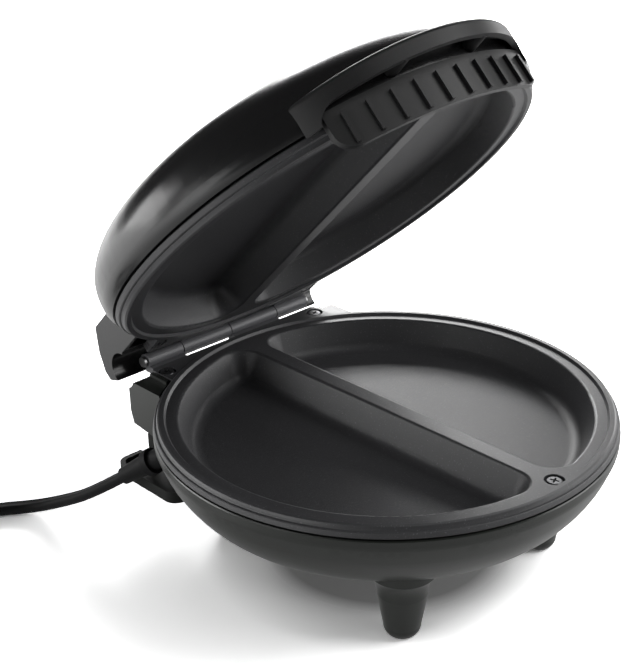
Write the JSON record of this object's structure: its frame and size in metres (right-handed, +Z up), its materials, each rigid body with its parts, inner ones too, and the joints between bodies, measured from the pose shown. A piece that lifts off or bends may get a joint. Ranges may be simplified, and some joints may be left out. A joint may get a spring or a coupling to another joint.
{
  "type": "electric omelette maker",
  "caption": "Round clam-shell omelette maker, lid half open, with half-moon pockets in each plate, moulded feet, ribbed front grip and mains lead.",
  "frame": {"origin": "under the middle of the cooker's outline, without the mains lead, at the height of the surface it stands on", "axes": "+X to the user's right, +Y to the back where the hinge is, +Z up"},
  "size_m": [0.3591, 0.3131, 0.2449],
  "materials": {
    "base_plastic": "satin",
    "lid_plastic": "satin",
    "handle_plastic": "satin",
    "nonstick_casting": "satin",
    "element_sheath": "satin",
    "reflector_sheet": "satin",
    "pad_rubber": "matte",
    "lead_rubber": "matte",
    "tie_plastic": "matte",
    "brass": "satin",
    "block_plastic": "matte",
    "wire_sleeve": "matte",
    "lens_red": "gloss",
    "lens_green": "gloss",
    "lamp_glass": "gloss",
    "dark_screws": "satin",
    "steel": "satin"
  },
  "bodies": {
    "base": {"base_housing": "base_plastic", "lower_plate": "nonstick_casting", "lower_plate_screws": "dark_screws", "lower_heating_element": "element_sheath", "lower_clamp_bars": "steel", "lower_clamp_screws": "steel", "lower_reflector": "reflector_sheet", "lower_reflector_screws": "steel", "thermostat": "steel", "thermal_fuse": "block_plastic", "terminal_block": "block_plastic", "terminal_screws": "brass", "base_wires": "wire_sleeve", "cord_bushing": "lead_rubber", "cord_cleat_left": "base_plastic", "cord_cleat_right": "base_plastic", "cleat_screws": "steel", "hinge_pin": "steel", "hinge_clip": "steel", "foot_pad_left_front": "pad_rubber", "foot_pad_left_rear": "pad_rubber", "foot_pad_right_front": "pad_rubber", "foot_pad_right_rear": "pad_rubber", "mains_cord": "lead_rubber", "cord_coil": "lead_rubber", "cord_tie": "tie_plastic", "plug_body": "lead_rubber", "plug_pins": "brass"},
    "lid": {"lid_housing": "lid_plastic", "upper_plate": "nonstick_casting", "upper_plate_screws": "dark_screws", "upper_heating_element": "element_sheath", "upper_clamp_bars": "steel", "upper_clamp_screws": "steel", "upper_reflector": "reflector_sheet", "upper_reflector_screws": "steel", "handle_hood": "handle_plastic", "handle_grip": "handle_plastic", "handle_screws": "steel", "lens_power": "lens_red", "lens_ready": "lens_green", "signal_lamps": "lamp_glass"}
  },
  "joints": [
    {"name": "lid_hinge", "type": "hinge", "parent": "base", "child": "lid", "pos_m": [0, 0.09635, 0.0728], "axis": [-1, 0, 0], "range_deg": [-44.8, 53.2]}
  ]
}
